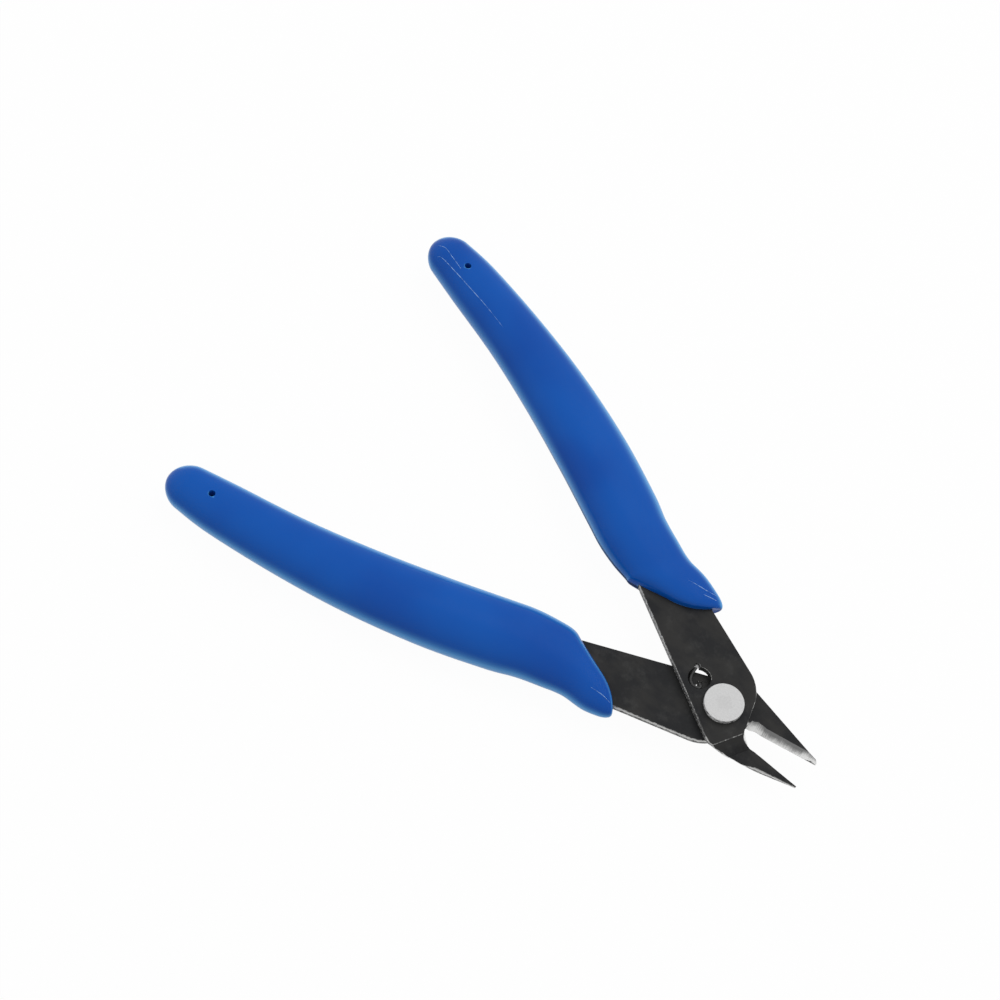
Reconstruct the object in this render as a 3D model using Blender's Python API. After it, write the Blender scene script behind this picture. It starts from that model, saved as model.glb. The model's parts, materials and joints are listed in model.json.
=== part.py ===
"""Flush cut pliers: two sheet steel blades that cross at one rivet, each in a moulded grip.

The tool lies flat with +Z up. Its own frame has the rivet's axis at x = y = 0 and the faces
where the two blades meet at z = 0. The handles run along -X and the jaws along +X. The
lower blade has its handle on the -Y side and its jaw on the +Y side. The upper blade has
the same shank, mirrored, and a jaw that steps down under the other one, so that the two
flat faces shear past each other. Sizes are in millimetres and degrees, and MM turns them
into metres where a mesh is made.
"""

import math

import bmesh
import bpy
from mathutils import Vector

MM = 0.001
PAST = 1.0  # how far a cutter reaches past the face that it cuts

# Clearances
RUNNING_GAP = 0.1  # between the two blades, and under the rivet's heads
FIT = 0.3  # round the tang in its grip, round the rivet's shank and round the spring

# Both blades
PLATE = 1.5
OUTER_EDGE_ANGLE = 19.8
OUTER_EDGE_OFFSET = 7.85  # from the rivet's axis to the outer edge of the shank
INNER_EDGE_ANGLE = 27.3
INNER_EDGE_OFFSET = 5.47
RIM_ANGLE = 70.0
SHANK_END_X = -28.0
TANG_HALF_WIDTH_FRONT = 4.2
TANG_HALF_WIDTH_END = 2.7
TANG_SHARE = 0.96  # how far the tang reaches along the grip
NOSE_RADIUS = 7.5
HUB_CORNER_RADIUS = 1.2

# Lower blade: its jaw keeps to the plate's own level, with the bevel on top
LOWER_RIM_OFFSET = 5.0
LOWER_JAW_BACK_ANGLE = -9.6
LOWER_JAW_BACK_OFFSET = 7.34
LOWER_EDGE_ANGLE = 13.7
LOWER_EDGE_OFFSET = -0.62
LOWER_EDGE_START_X = 10.2
LOWER_BORDER_ANGLE = 13.0  # the bevel's upper border
LOWER_BORDER_OFFSET = 0.68
LOWER_BORDER_START_X = 9.2
LOWER_BORDER_BEND_X = 17.0  # where the border turns to round the tip over
LOWER_BORDER_END = (19.3, 4.52)
LOWER_THROAT = (5.35, 0.35)
LOWER_ROOT = (  # points of the cutting edge, each with its point on the bevel's border
    ((5.66, 0.6), (5.55, 1.5)),
    ((6.4, 0.86), (5.97, 2.1)),
    ((7.2, 1.3), (6.7, 2.62)),
    ((8.3, 1.45), (7.7, 2.68)),
)
TIP_X = 19.15
EDGE_LAND = 0.05  # height of the narrow flat that is left along each cutting edge

# Upper blade: its jaw is joggled down until its top lies under the lower jaw
UPPER_RIM_OFFSET = 5.24
JOGGLE_ANGLE = 65.0
JOGGLE_START = 6.33  # from the rivet's axis to the first bend
JOGGLE_RUN = 2.27
UPPER_THROAT = (  # x, y and how far the lower face stands out past the top one
    (5.72, -0.4, 0.0),
    (6.0, -1.3, 0.65),
    (6.64, -2.07, 1.3),
    (7.57, -2.08, 1.1),
    (8.8, -1.78, 0.4),
)
UPPER_EDGE_ANGLE = 0.7
UPPER_EDGE_OFFSET = -1.75
UPPER_EDGE_START_X = 9.8
UPPER_BEVEL_WIDTHS = ((9.6, 0.05), (11.0, 1.4), (20.5, 1.1))  # x and width of the bevel
UPPER_BACK = (  # x, y and how far the lower face is drawn in, from the tip to the hub
    (TIP_X, -1.8, 0.12),
    (16.4, -2.6, 0.3),
    (12.6, -3.7, 0.02),
    (11.4, -4.1, 0.05),
    (9.26, -5.24, 0.64),
    (6.94, -5.7, 0.55),
    (4.15, -7.28, 0.8),
    (2.9, -7.38, 0.3),
)
LEAN_ANGLE = 95.0  # the way in which the lower face lies off the top one
HUB_CORNER_X = 1.6
BEVEL_CUTTER_DEPTH = 4.0

# Rivet
RIVET_HEAD_RADIUS = 3.7
RIVET_HEAD_HEIGHT = 1.0
RIVET_HEAD_ROUND = 0.3
RIVET_SHANK_RADIUS = 1.8

# Return spring: a bent wire from a notch in the upper blade's window to a hole in the lower blade
WIRE_RADIUS = 0.3
WINDOW_CENTRE = (-6.4, 1.0)
WINDOW_RADIUS = 2.15
NOTCH_ANGLE = 140.0
NOTCH_DEPTH = 0.75
NOTCH_RADIUS = 0.5
ANCHOR = (-5.85, 0.65)
COIL_START_ANGLE = 150.0  # where the wire lies along the window's side
COIL_END_ANGLE = 320.0
COIL_BENDS = 5

# Grips: their centre line is an arc that starts behind the guard
GRIP_START = (-34.28, -15.2)
GRIP_START_HEADING = 26.2
GRIP_BEND_RADIUS = 227.0
GRIP_LENGTH = 68.75  # along the arc, to the middle of the round tail
GRIP_SECTIONS = (  # share of the length, half width and half height
    (0.0, 6.8, 4.5),
    (0.08, 7.0, 4.75),
    (0.26, 7.0, 4.85),
    (0.47, 6.6, 4.6),
    (0.68, 5.95, 4.3),
    (0.89, 5.35, 3.85),
    (1.0, 4.6, 3.4),
)
GUARD_SECTIONS = (  # centre x and y, half width, half height and lean from the Y axis
    (-17.18, -12.4, 5.5, 3.2, 58.5),
    (-22.5, -12.35, 7.0, 3.5, 44.0),
    (-26.0, -12.6, 6.4, 3.7, 32.0),
    (-30.0, -13.7, 6.6, 4.1, 27.0),
)
SECTION_POINTS = 24
SECTION_POWER = 2.2
GRIP_FRONT_HALF_HEIGHT = 1.5
GUARD_TIP_RADIUS = 1.7
GRIP_END_STEPS = 8
LOCATOR_SHARE = 0.925
LOCATOR_RADIUS = 0.65
UPPER_GUARD_SPREAD = 1.15  # how much further the upper grip's guard reaches to each side
UPPER_GUARD_FORWARD = 0.65  # share of that by which it also reaches forward
POCKET_FRONT_X = -4.0

# Fineness of round shapes
CIRCLE_STEPS = 32
NOSE_STEPS = 10
CORNER_STEPS = 4
STEPS_PER_ROW = 3  # of a table that a smooth curve passes through
TANG_STEPS = 14
WIRE_STEPS = 3

# Levels of the sheets
LOWER_TOP = 0.0
LOWER_BOTTOM = LOWER_TOP - PLATE
UPPER_BOTTOM = LOWER_TOP + RUNNING_GAP
UPPER_TOP = UPPER_BOTTOM + PLATE
JAW_TOP = LOWER_BOTTOM - RUNNING_GAP
JOGGLE_DROP = UPPER_TOP - JAW_TOP
LOWER_BEND_SHIFT = PLATE * math.tan(math.atan2(JOGGLE_DROP, JOGGLE_RUN) / 2)
JOGGLE_WAY = Vector(
    (math.sin(math.radians(JOGGLE_ANGLE)), -math.cos(math.radians(JOGGLE_ANGLE)))
)


# --- Plane geometry ---------------------------------------------------------------------


def way(angle):
    """Unit vector at an angle from +X, in degrees."""
    return Vector((math.cos(math.radians(angle)), math.sin(math.radians(angle))))


def line(angle, offset):
    """A line as (point, direction), passing at `offset` to the left of the rivet's axis."""
    along = way(angle)
    return Vector((-along.y, along.x)) * offset, along


def at_x(edge, x):
    """The point of a line at a given x."""
    point, along = edge
    return point + along * ((x - point.x) / along.x)


def meet(first, second):
    """Where two lines cross."""
    point, along = first
    other, across = second
    gap = other - point
    return point + along * (gap.cross(across) / along.cross(across))


def rounded(before, corner, after, radius, steps):
    """The arc that rounds a corner between two neighbouring points."""
    back = (before - corner).normalized()
    ahead = (after - corner).normalized()
    half = back.angle(ahead) / 2
    centre = corner + (back + ahead).normalized() * (radius / math.sin(half))
    start = corner + back * (radius / math.tan(half)) - centre
    end = corner + ahead * (radius / math.tan(half)) - centre
    turn = math.atan2(start.cross(end), start.dot(end))
    points = []
    for step in range(steps + 1):
        cos = math.cos(turn * step / steps)
        sin = math.sin(turn * step / steps)
        points.append(centre + Vector((start.x * cos - start.y * sin, start.x * sin + start.y * cos)))
    return points


def flipped(points):
    """The same points on the other side of the X axis."""
    return [Vector((point[0], -point[1])) for point in points]


def circle(centre, radius):
    """The outline of a round hole."""
    turns = [360 * step / CIRCLE_STEPS for step in range(CIRCLE_STEPS)]
    return [Vector(centre) + way(turn) * radius for turn in turns]


def smooth(rows, place):
    """The row at a fractional place in a table, on a Catmull-Rom curve through its rows."""
    index = min(int(place), len(rows) - 2)
    part = place - index
    picked = [rows[min(max(index + step, 0), len(rows) - 1)] for step in (-1, 0, 1, 2)]
    values = []
    for a, b, c, d in zip(*picked):
        bend = (2 * a - 5 * b + 4 * c - d) * part + (3 * b - a - 3 * c + d) * part * part
        values.append(b + 0.5 * part * (c - a + bend))
    return values


# --- Meshes -----------------------------------------------------------------------------


def material(name, colour, metallic, roughness):
    """A plain surface with one colour."""
    made = bpy.data.materials.new(name)
    made.use_nodes = True
    shader = made.node_tree.nodes["Principled BSDF"]
    shader.inputs["Base Color"].default_value = (*colour, 1)
    shader.inputs["Metallic"].default_value = metallic
    shader.inputs["Roughness"].default_value = roughness
    return made


def solid(name, shape, parent, finish=None):
    """An object from a closed bmesh in millimetres, smooth shaded with sharp corners."""
    bmesh.ops.recalc_face_normals(shape, faces=shape.faces)
    bmesh.ops.scale(shape, vec=(MM, MM, MM), verts=shape.verts)
    mesh = bpy.data.meshes.new(name)
    shape.to_mesh(mesh)
    shape.free()
    mesh.shade_smooth()
    mesh.set_sharp_from_angle(angle=math.radians(30))
    if finish:
        mesh.materials.append(finish)
    made = bpy.data.objects.new(name, mesh)
    bpy.context.collection.objects.link(made)
    made.parent = parent
    return made


def cut(target, name, shape):
    """Removes a closed shape from an object."""
    cutter = solid(name, shape, target.parent)
    cutter.hide_render = True
    cutter.display_type = "WIRE"
    modifier = target.modifiers.new(name, "BOOLEAN")
    modifier.operation = "DIFFERENCE"
    modifier.object = cutter


def loft(rings):
    """A closed bmesh through rings of as many 3-D points each, with flat ends."""
    made = bmesh.new()
    loops = [[made.verts.new(point) for point in ring] for ring in rings]
    for loop, after in zip(loops, loops[1:]):
        for index in range(len(loop)):
            turn = (index + 1) % len(loop)
            made.faces.new((loop[index], loop[turn], after[turn], after[index]))
    made.faces.new(loops[0])
    made.faces.new(loops[-1])
    return made


def prism(outline, z_low, z_high):
    """A closed bmesh: the outline drawn up from one level to another."""
    return loft([[(point[0], point[1], level) for point in outline] for level in (z_low, z_high)])


def through(outline, z_low, z_high):
    """A prism that reaches past both faces of the sheet that it cuts."""
    return prism(outline, z_low - PAST, z_high + PAST)


def turned(profile):
    """A closed bmesh turned round the rivet's axis from (radius, z) points."""
    return loft([[(*point, z) for point in circle((0, 0), radius)] for radius, z in profile])


# --- Outlines that both blades and both grips share --------------------------------------


def centre_line(share):
    """A point of the grip's centre line and the line's heading there, toward the jaws."""
    turn = math.degrees(GRIP_LENGTH * share / GRIP_BEND_RADIUS)
    hub = Vector(GRIP_START) + way(GRIP_START_HEADING + 90) * GRIP_BEND_RADIUS
    heading = GRIP_START_HEADING - turn
    return hub - way(heading + 90) * GRIP_BEND_RADIUS, heading


def tang_edges(grow):
    """The two edges of the tang from front to back, on either side of the centre line."""
    outer, inner = [], []
    for step in range(TANG_STEPS + 1):
        share = step / TANG_STEPS
        centre, heading = centre_line(TANG_SHARE * share)
        half = TANG_HALF_WIDTH_FRONT + (TANG_HALF_WIDTH_END - TANG_HALF_WIDTH_FRONT) * share
        if step == TANG_STEPS:
            centre -= way(heading) * grow
        outer.append(centre - way(heading + 90) * (half + grow))
        inner.append(centre + way(heading + 90) * (half + grow))
    return outer, inner


def shank_lines(grow):
    """The straight outer and inner edges of a shank, moved outwards by `grow`."""
    outer = line(OUTER_EDGE_ANGLE, -OUTER_EDGE_OFFSET - grow)
    return outer, line(INNER_EDGE_ANGLE, INNER_EDGE_OFFSET + grow)


def handle_edges(grow):
    """The outer and inner edges of the handle, each from the shank's end to the back."""
    outer_line, inner_line = shank_lines(grow)
    outer, inner = tang_edges(grow)
    return [at_x(outer_line, SHANK_END_X)] + outer, [at_x(inner_line, SHANK_END_X)] + inner


def blade_outline(rim_offset, jaw, hub_corner):
    """A whole blade: up its outer edge, round the hub's nose and the jaw, and back inside.

    The handle lies on the -Y side. `jaw` runs from the throat round the jaw to its back,
    and `hub_corner` is where the jaw's back and the shank's inner edge would meet.
    """
    outer, inner = handle_edges(0)
    outer_line, _ = shank_lines(0)
    nose_corner = meet(outer_line, line(RIM_ANGLE, -rim_offset))
    outline = list(reversed(outer))
    outline += rounded(outer[0], nose_corner, jaw[0], NOSE_RADIUS, NOSE_STEPS)
    outline += jaw
    outline += rounded(jaw[-1], hub_corner, inner[0], HUB_CORNER_RADIUS, CORNER_STEPS)
    return outline + inner


def bevel_cutter(pairs, z_edge, z_face):
    """What grinding takes off a jaw: each pair is a point of the edge and one of the bevel's border.

    The slanted side passes through the edge at z_edge and through the border at z_face. It
    reaches past both, and the cutter reaches away from the jaw beyond the edge.
    """
    rings = []
    reach = 1 + PAST / abs(z_face - z_edge)
    high = z_edge + (z_face - z_edge) * reach
    low = z_face - (z_face - z_edge) * reach
    for edge, border in pairs:
        beyond = edge + (border - edge) * reach
        before = border + (edge - border) * reach
        outside = before + (edge - border).normalized() * BEVEL_CUTTER_DEPTH
        rings.append([(*before, low), (*beyond, high), (*outside, high), (*outside, low)])
    return loft(rings)


# --- Lower blade -------------------------------------------------------------------------


def lower_outline():
    """The plate from above, before its bevel is ground: the jaw ends at the cutting edge."""
    edge = line(LOWER_EDGE_ANGLE, LOWER_EDGE_OFFSET)
    back = line(LOWER_JAW_BACK_ANGLE, LOWER_JAW_BACK_OFFSET)
    jaw = [Vector(LOWER_THROAT)] + [Vector(low) for low, _ in LOWER_ROOT]
    jaw += [at_x(edge, LOWER_EDGE_START_X), at_x(edge, TIP_X), at_x(back, TIP_X)]
    hub_corner = meet(back, line(INNER_EDGE_ANGLE, INNER_EDGE_OFFSET))
    return blade_outline(LOWER_RIM_OFFSET, jaw, hub_corner)


def lower_bevel():
    """The bevel on top of the lower jaw, from the relief at its root to the rounded tip."""
    edge = line(LOWER_EDGE_ANGLE, LOWER_EDGE_OFFSET)
    border = line(LOWER_BORDER_ANGLE, LOWER_BORDER_OFFSET)
    end = Vector(LOWER_BORDER_END)
    bend = at_x(border, LOWER_BORDER_BEND_X)
    root = [(Vector(low), Vector(high)) for low, high in LOWER_ROOT]
    first_edge, first_border = root[0]
    past_throat = Vector(LOWER_THROAT) * 2 - first_edge
    pairs = [(past_throat, past_throat + first_border - first_edge)] + root
    pairs.append((at_x(edge, LOWER_EDGE_START_X), at_x(border, LOWER_BORDER_START_X)))
    pairs.append((at_x(edge, LOWER_BORDER_BEND_X), bend))
    pairs.append((at_x(edge, end.x), end))
    pairs.append((at_x(edge, end.x + PAST), end + (end - bend).normalized() * PAST))
    return bevel_cutter(pairs, LOWER_BOTTOM + EDGE_LAND, LOWER_TOP)


def lower_blade(tool, finish):
    """Tang, shank, hub and jaw in one flat plate."""
    blade = solid("lower_blade", prism(lower_outline(), LOWER_BOTTOM, LOWER_TOP), tool, finish)
    cut(blade, "lower_bevel_cutter", lower_bevel())
    for name, centre, radius in (
        ("lower_rivet_hole_cutter", (0, 0), RIVET_SHANK_RADIUS + FIT),
        ("anchor_hole_cutter", ANCHOR, WIRE_RADIUS + FIT),
    ):
        cut(blade, name, through(circle(centre, radius), LOWER_BOTTOM, LOWER_TOP))


# --- Upper blade -------------------------------------------------------------------------


def smoothed(rows):
    """More rows, on a smooth curve through those of a table."""
    places = range((len(rows) - 1) * STEPS_PER_ROW + 1)
    return [smooth(rows, place / STEPS_PER_ROW) for place in places]


def upper_outline():
    """The stepped plate from above, by its top face, and how far each point of the jaw leans."""
    edge = line(UPPER_EDGE_ANGLE, UPPER_EDGE_OFFSET)
    throat, back = smoothed(UPPER_THROAT), smoothed(UPPER_BACK)
    jaw = [Vector((x, y)) for x, y, _ in throat]
    jaw += [at_x(edge, UPPER_EDGE_START_X), at_x(edge, TIP_X)]
    jaw += [Vector((x, y)) for x, y, _ in back]
    leans = [lean for *_, lean in throat] + [0, 0] + [lean for *_, lean in back]
    hub_corner = at_x(line(INNER_EDGE_ANGLE, INNER_EDGE_OFFSET), HUB_CORNER_X)
    outline = flipped(blade_outline(UPPER_RIM_OFFSET, flipped(jaw), hub_corner))
    before = outline.index(jaw[0])
    after = len(outline) - before - len(jaw)
    return outline, [0] * before + leans + [0] * after


def dropped(reach):
    """How far the top face has dropped at a distance along JOGGLE_WAY."""
    return JOGGLE_DROP * min(max((reach - JOGGLE_START) / JOGGLE_RUN, 0), 1)


def joggled(outline, leans):
    """The plate with its jaw bent down and back level, as thick in the slope as elsewhere.

    Both faces drop with the distance along JOGGLE_WAY. The lower one does so nearer to the
    rivet by LOWER_BEND_SHIFT, so the outline is split along two lines for each face. The
    walls of the throat and of the jaw's back lean: the lower face stands off the top one.
    """
    made = bmesh.new()
    lean = made.verts.layers.float.new("lean")
    corners = [made.verts.new((*point, 0)) for point in outline]
    for corner, share in zip(corners, leans):
        corner[lean] = share
    made.faces.new(corners)
    for bend in (JOGGLE_START, JOGGLE_START + JOGGLE_RUN):
        for reach in (bend - LOWER_BEND_SHIFT, bend):
            everything = made.verts[:] + made.edges[:] + made.faces[:]
            spot = (*(JOGGLE_WAY * reach), 0)
            bmesh.ops.bisect_plane(made, geom=everything, plane_co=spot, plane_no=(*JOGGLE_WAY, 0))
    rim = [edge for edge in made.edges if edge.is_boundary]
    copied = bmesh.ops.duplicate(made, geom=made.verts[:] + made.edges[:] + made.faces[:])
    under = {top: low for top, low in copied["vert_map"].items() if top in copied["vert_map"]}
    for edge in rim:
        first, second = edge.verts
        made.faces.new((first, second, under[second], under[first]))
    for top in {vert for edge in rim for vert in edge.verts}:
        place = top.co.xy + way(LEAN_ANGLE) * top[lean]
        reach = place.dot(JOGGLE_WAY) + LOWER_BEND_SHIFT
        under[top].co = (*place, UPPER_BOTTOM - dropped(reach))
        top.co.z = UPPER_TOP - dropped(top.co.xy.dot(JOGGLE_WAY))
    return made


def upper_bevel():
    """The bevel under the upper jaw, which runs out at the jaw's root."""
    edge = line(UPPER_EDGE_ANGLE, UPPER_EDGE_OFFSET)
    away = way(UPPER_EDGE_ANGLE - 90)
    pairs = []
    for x, width in UPPER_BEVEL_WIDTHS:
        pairs.append((at_x(edge, x), at_x(edge, x) + away * width))
    return bevel_cutter(pairs, JAW_TOP - EDGE_LAND, JAW_TOP - PLATE)


def upper_blade(pivot, finish):
    """Tang, shank, hub and joggled jaw in one bent plate, with the spring's window."""
    blade = solid("upper_blade", joggled(*upper_outline()), pivot, finish)
    cut(blade, "upper_bevel_cutter", upper_bevel())
    notch = Vector(WINDOW_CENTRE) + way(NOTCH_ANGLE) * (WINDOW_RADIUS + NOTCH_DEPTH - NOTCH_RADIUS)
    for name, centre, radius in (
        ("upper_rivet_hole_cutter", (0, 0), RIVET_SHANK_RADIUS + FIT),
        ("window_cutter", WINDOW_CENTRE, WINDOW_RADIUS),
        ("notch_cutter", notch, NOTCH_RADIUS),
    ):
        cut(blade, name, through(circle(centre, radius), UPPER_BOTTOM, UPPER_TOP))


# --- Rivet and spring --------------------------------------------------------------------


def rivet(tool, finish):
    """A shank through both hubs with a flat, round-edged head at each end."""
    inner_levels = (LOWER_BOTTOM - RUNNING_GAP, UPPER_TOP + RUNNING_GAP)
    round_edge = []
    for step in range(CORNER_STEPS + 1):
        spoke = way(90 * step / CORNER_STEPS) * RIVET_HEAD_ROUND
        reach = RIVET_HEAD_RADIUS - RIVET_HEAD_ROUND + spoke.x
        round_edge.append((reach, RIVET_HEAD_HEIGHT - RIVET_HEAD_ROUND + spoke.y))
    top = [(RIVET_SHANK_RADIUS, 0.0), (RIVET_HEAD_RADIUS, 0.0)] + round_edge
    profile = [(radius, inner_levels[0] - height) for radius, height in reversed(top)]
    profile += [(radius, inner_levels[1] + height) for radius, height in top]
    solid("pivot_rivet", turned(profile), tool, finish)


def spring(tool, finish):
    """A bent wire: hooked in the notch, round the window's side and down into its hole."""
    centre = Vector(WINDOW_CENTRE)
    level = LOWER_TOP + WIRE_RADIUS + FIT
    hook = centre + way(NOTCH_ANGLE) * (WINDOW_RADIUS + NOTCH_DEPTH - NOTCH_RADIUS)
    middle = (UPPER_TOP + level) / 2
    route = [(*hook, UPPER_TOP - WIRE_RADIUS), (*hook, middle)]
    for bend in range(COIL_BENDS + 1):
        turn = COIL_START_ANGLE + (COIL_END_ANGLE - COIL_START_ANGLE) * bend / COIL_BENDS
        route.append((*(centre + way(turn) * (WINDOW_RADIUS - WIRE_RADIUS - FIT)), level))
    route += [(*ANCHOR, level - WIRE_RADIUS), (*ANCHOR, LOWER_BOTTOM + WIRE_RADIUS)]
    curve = bpy.data.curves.new("return_spring", "CURVE")
    curve.dimensions = "3D"
    curve.bevel_depth = WIRE_RADIUS * MM
    curve.bevel_resolution = 2
    curve.use_fill_caps = True
    steps = WIRE_STEPS * (len(route) - 1)
    spline = curve.splines.new("POLY")
    spline.points.add(steps)
    for step, point in enumerate(spline.points):
        x, y, z = smooth(route, step / WIRE_STEPS)
        point.co = (x * MM, y * MM, z * MM, 1)
    curve.materials.append(finish)
    made = bpy.data.objects.new("return_spring", curve)
    bpy.context.collection.objects.link(made)
    made.parent = tool


# --- Grips -------------------------------------------------------------------------------


def section(x, y, half_width, half_height, lean, side, z_mid):
    """A ring of points: a superellipse square to the grip, `side` -1 for the +Y handle."""
    ring = []
    for step in range(SECTION_POINTS):
        spoke = way(360 * step / SECTION_POINTS)
        wide = math.copysign(abs(spoke.x) ** (2 / SECTION_POWER), spoke.x) * half_width
        high = math.copysign(abs(spoke.y) ** (2 / SECTION_POWER), spoke.y) * half_height
        point = Vector((x, y)) + way(90 + lean) * wide
        ring.append((point.x, point.y * side, z_mid + high))
    return ring


def grip_sections(spread):
    """The sections that shape a grip: those of its guard, then those along its centre line."""
    x, y, half_width, half_height, lean = GUARD_SECTIONS[0]
    front = Vector((x, y)) + way(lean) * spread * UPPER_GUARD_FORWARD
    sections = [(*front, half_width + spread, half_height, lean), *GUARD_SECTIONS[1:]]
    for share, half_width, half_height in GRIP_SECTIONS:
        centre, heading = centre_line(share)
        sections.append((*centre, half_width, half_height, heading))
    return sections


def round_tip(front, row):
    """A row near the front with its outer end drawn in, so that the guard's tip is round."""
    x, y, half_width, half_height, lean = row
    behind = (Vector(front[:2]) - Vector((x, y))).dot(way(front[-1]))
    lack = max(GUARD_TIP_RADIUS - behind, 0)
    trim = GUARD_TIP_RADIUS - math.sqrt(GUARD_TIP_RADIUS**2 - lack**2)
    centre = Vector((x, y)) + way(90 + lean) * trim / 2
    return (*centre, half_width - trim / 2, half_height, lean)


def grip_rows(spread):
    """The grip's rows of points from its guard to its tail, rounded over at both ends."""
    sections = grip_sections(spread)
    rows = []
    for step in range(GRIP_END_STEPS):
        spoke = way(90 * step / GRIP_END_STEPS)
        x, y, wide, high, lean = smooth(sections, 1 - spoke.x)
        high = GRIP_FRONT_HALF_HEIGHT + (high - GRIP_FRONT_HALF_HEIGHT) * spoke.y
        rows.append(round_tip(sections[0], (x, y, wide, high, lean)))
    for step in range((len(sections) - 2) * STEPS_PER_ROW):
        rows.append(smooth(sections, 1 + step / STEPS_PER_ROW))
    x, y, wide, high, lean = sections[-1]
    for step in range(GRIP_END_STEPS):
        spoke = way(90 * step / GRIP_END_STEPS)
        back = way(lean) * wide * spoke.y
        rows.append((x - back.x, y - back.y, wide * spoke.x, high * spoke.x, lean))
    return rows


def grip(name, side, levels, spread, parent, finish):
    """A moulded grip with a pocket for the tang and a locator hole down to it."""
    z_mid = sum(levels) / 2
    rings = [section(*row, side, z_mid) for row in grip_rows(spread)]
    made = solid(name, loft(rings), parent, finish)
    outer, inner = handle_edges(FIT)
    front = [at_x(edge, POCKET_FRONT_X) for edge in shank_lines(FIT)]
    pocket = list(reversed(outer)) + front + inner
    locator = circle(centre_line(LOCATOR_SHARE)[0], LOCATOR_RADIUS)
    if side < 0:
        pocket = flipped(pocket)
        locator = flipped(locator)
    cut(made, name + "_pocket_cutter", prism(pocket, levels[0] - FIT, levels[1] + FIT))
    half = max(half_height for _, _, half_height in GRIP_SECTIONS)
    cut(made, name + "_locator_cutter", through(locator, z_mid - half, z_mid + half))


# --- Assembly ----------------------------------------------------------------------------


def empty(name, parent=None):
    """A frame that carries pieces."""
    made = bpy.data.objects.new(name, None)
    bpy.context.collection.objects.link(made)
    made.parent = parent
    return made


def stand_on_floor(tool):
    """Moves the tool so that its box is centred on the origin and its underside is at z = 0."""
    bpy.context.view_layer.update()
    graph = bpy.context.evaluated_depsgraph_get()
    corners = []
    for made in bpy.context.collection.objects:
        if made.type != "EMPTY" and not made.hide_render:
            evaluated = made.evaluated_get(graph)
            mesh = evaluated.to_mesh()
            corners += [made.matrix_world @ vert.co for vert in mesh.vertices]
            evaluated.to_mesh_clear()
    low = Vector([min(corner[axis] for corner in corners) for axis in range(3)])
    high = Vector([max(corner[axis] for corner in corners) for axis in range(3)])
    middle = (low + high) / 2
    tool.location = (-middle.x, -middle.y, -low.z)


def main():
    """Clears the scene and builds the pliers, open as they rest."""
    for old in list(bpy.data.objects):
        bpy.data.objects.remove(old)
    steel = material("black_oxide_steel", (0.035, 0.036, 0.04), 0.8, 0.45)
    bright = material("bright_steel", (0.55, 0.55, 0.56), 1.0, 0.3)
    vinyl = material("blue_vinyl", (0.012, 0.075, 0.36), 0.0, 0.3)
    tool = empty("tool")
    pivot = empty("pivot", tool)
    lower_blade(tool, steel)
    upper_blade(pivot, steel)
    rivet(tool, bright)
    spring(tool, bright)
    grip("lower_grip", 1, (LOWER_BOTTOM, LOWER_TOP), 0.0, tool, vinyl)
    grip("upper_grip", -1, (UPPER_BOTTOM, UPPER_TOP), UPPER_GUARD_SPREAD, pivot, vinyl)
    stand_on_floor(tool)


if __name__ == "__main__":
    main()
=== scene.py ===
"""Looks for a pair of flush cut pliers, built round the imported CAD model.

Lengths in this file are in millimetres and angles in degrees, unless a name says otherwise.
Points are first worked out in the tool's own frame, whose origin is the middle of the rivet,
and `placed` carries them to the CAD model's frame in metres.
"""

from __future__ import annotations

import enum
import json
import logging
import math
from dataclasses import dataclass, field
from typing import Any

import bmesh
import bpy
import numpy as np
from mathutils import Matrix, Vector


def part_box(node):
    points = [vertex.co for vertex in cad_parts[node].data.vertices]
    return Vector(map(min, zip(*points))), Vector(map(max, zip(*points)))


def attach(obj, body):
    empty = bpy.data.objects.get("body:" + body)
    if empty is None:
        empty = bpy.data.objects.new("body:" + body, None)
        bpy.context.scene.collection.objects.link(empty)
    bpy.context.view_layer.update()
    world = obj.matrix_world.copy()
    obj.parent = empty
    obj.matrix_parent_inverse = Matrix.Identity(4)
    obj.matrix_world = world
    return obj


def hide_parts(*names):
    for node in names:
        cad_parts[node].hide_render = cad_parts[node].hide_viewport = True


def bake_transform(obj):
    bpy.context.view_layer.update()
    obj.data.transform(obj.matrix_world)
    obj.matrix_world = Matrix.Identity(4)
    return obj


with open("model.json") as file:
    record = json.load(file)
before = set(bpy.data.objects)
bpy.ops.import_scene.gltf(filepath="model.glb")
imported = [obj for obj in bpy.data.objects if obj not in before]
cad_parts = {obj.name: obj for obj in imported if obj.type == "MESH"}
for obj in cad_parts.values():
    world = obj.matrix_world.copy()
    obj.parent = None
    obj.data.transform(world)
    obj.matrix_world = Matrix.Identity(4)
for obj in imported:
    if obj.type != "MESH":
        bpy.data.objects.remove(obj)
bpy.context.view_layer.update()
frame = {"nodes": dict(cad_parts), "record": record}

LOG = logging.getLogger("pliers")
MM = 0.001
RIVET_PLACE = np.array(frame["record"]["behaviour"]["joints"][0]["pos_m"])
FIRST_SIDE = (0.3, -0.9, 0.2)  # a direction along which no wire starts
TINY = 1e-6  # keeps a division by a length from failing


# --- Helpers ------------------------------------------------------------------------------


def placed(points: np.ndarray) -> np.ndarray:
    """Carries points from the tool's frame in millimetres to the model's frame in metres."""
    return RIVET_PLACE + np.asarray(points, float) * MM


def way(angle: np.ndarray | float) -> np.ndarray:
    """Unit vectors in the plane of the plates at angles from +X: (cos, sin) of each."""
    turned = np.radians(angle)
    return np.stack([np.cos(turned), np.sin(turned)], axis=-1)


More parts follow.
